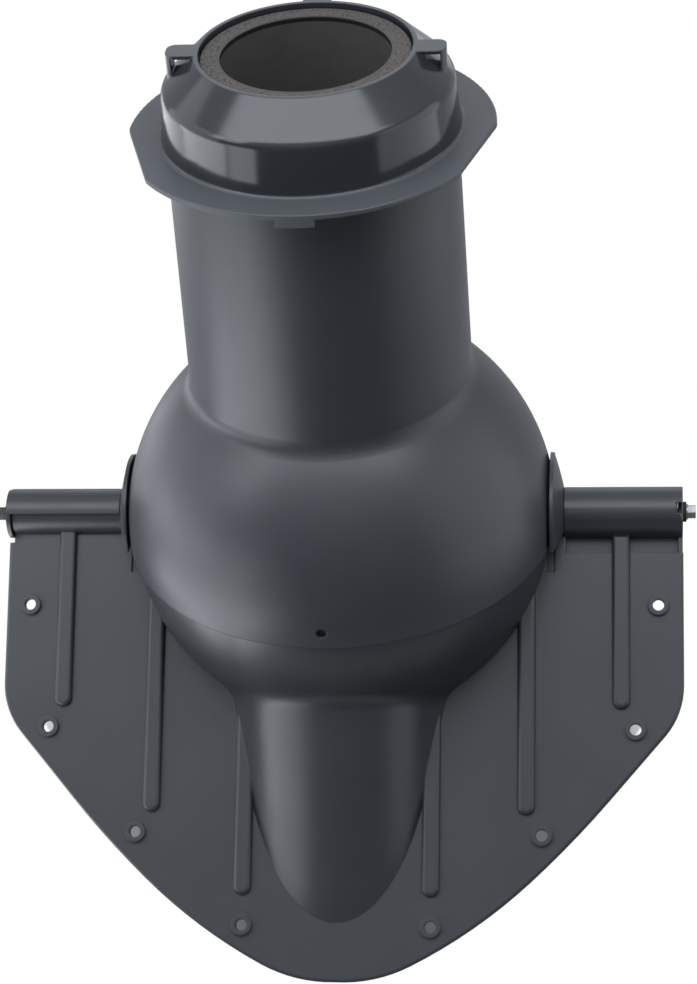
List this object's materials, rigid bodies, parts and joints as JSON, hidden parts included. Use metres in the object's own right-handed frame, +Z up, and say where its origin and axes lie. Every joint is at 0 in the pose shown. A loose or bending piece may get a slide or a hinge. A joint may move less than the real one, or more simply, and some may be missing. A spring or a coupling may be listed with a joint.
{
  "type": "ridge vent pipe",
  "caption": "Insulated roof-ridge vent pipe: upright tube with a ball foot and flanged collar, held between two ribbed wings that hinge to suit the roof pitch.",
  "frame": {"origin": "on the ridge hinge axis, halfway along it and on the pipe's axis", "axes": "+X along the ridge, +Z up the pipe, -Y towards the front slope"},
  "size_m": [0.5646, 0.5248, 0.6764],
  "materials": {
    "casing": "satin graphite plastic",
    "collar": "smooth glossy graphite plastic",
    "duct": "smooth dark plastic",
    "insulation": "granular grey foam",
    "wing": "satin graphite plastic",
    "steel": "zinc-plated steel",
    "rubber": "black rubber"
  },
  "bodies": {
    "pipe_body": {"casing": "casing", "top_collar": "collar", "inner_pipe": "duct", "insulation_sleeve": "insulation"},
    "front_wing_body": {"front_wing": "wing", "right_hinge_bolt": "steel", "right_hinge_nut": "steel", "right_rubber_washer": "rubber", "right_steel_washer": "steel"},
    "rear_wing_body": {"rear_wing": "wing", "left_hinge_bolt": "steel", "left_hinge_nut": "steel", "left_rubber_washer": "rubber", "left_steel_washer": "steel"}
  },
  "joints": [
    {"name": "front_pitch", "type": "hinge", "parent": "pipe_body", "child": "front_wing_body", "pos_m": [0, 0, 0], "axis": [-1, 0, 0], "range_deg": [-10, 20]},
    {"name": "rear_pitch", "type": "hinge", "parent": "pipe_body", "child": "rear_wing_body", "pos_m": [0, 0, 0], "axis": [1, 0, 0], "range_deg": [-10, 20]}
  ]
}
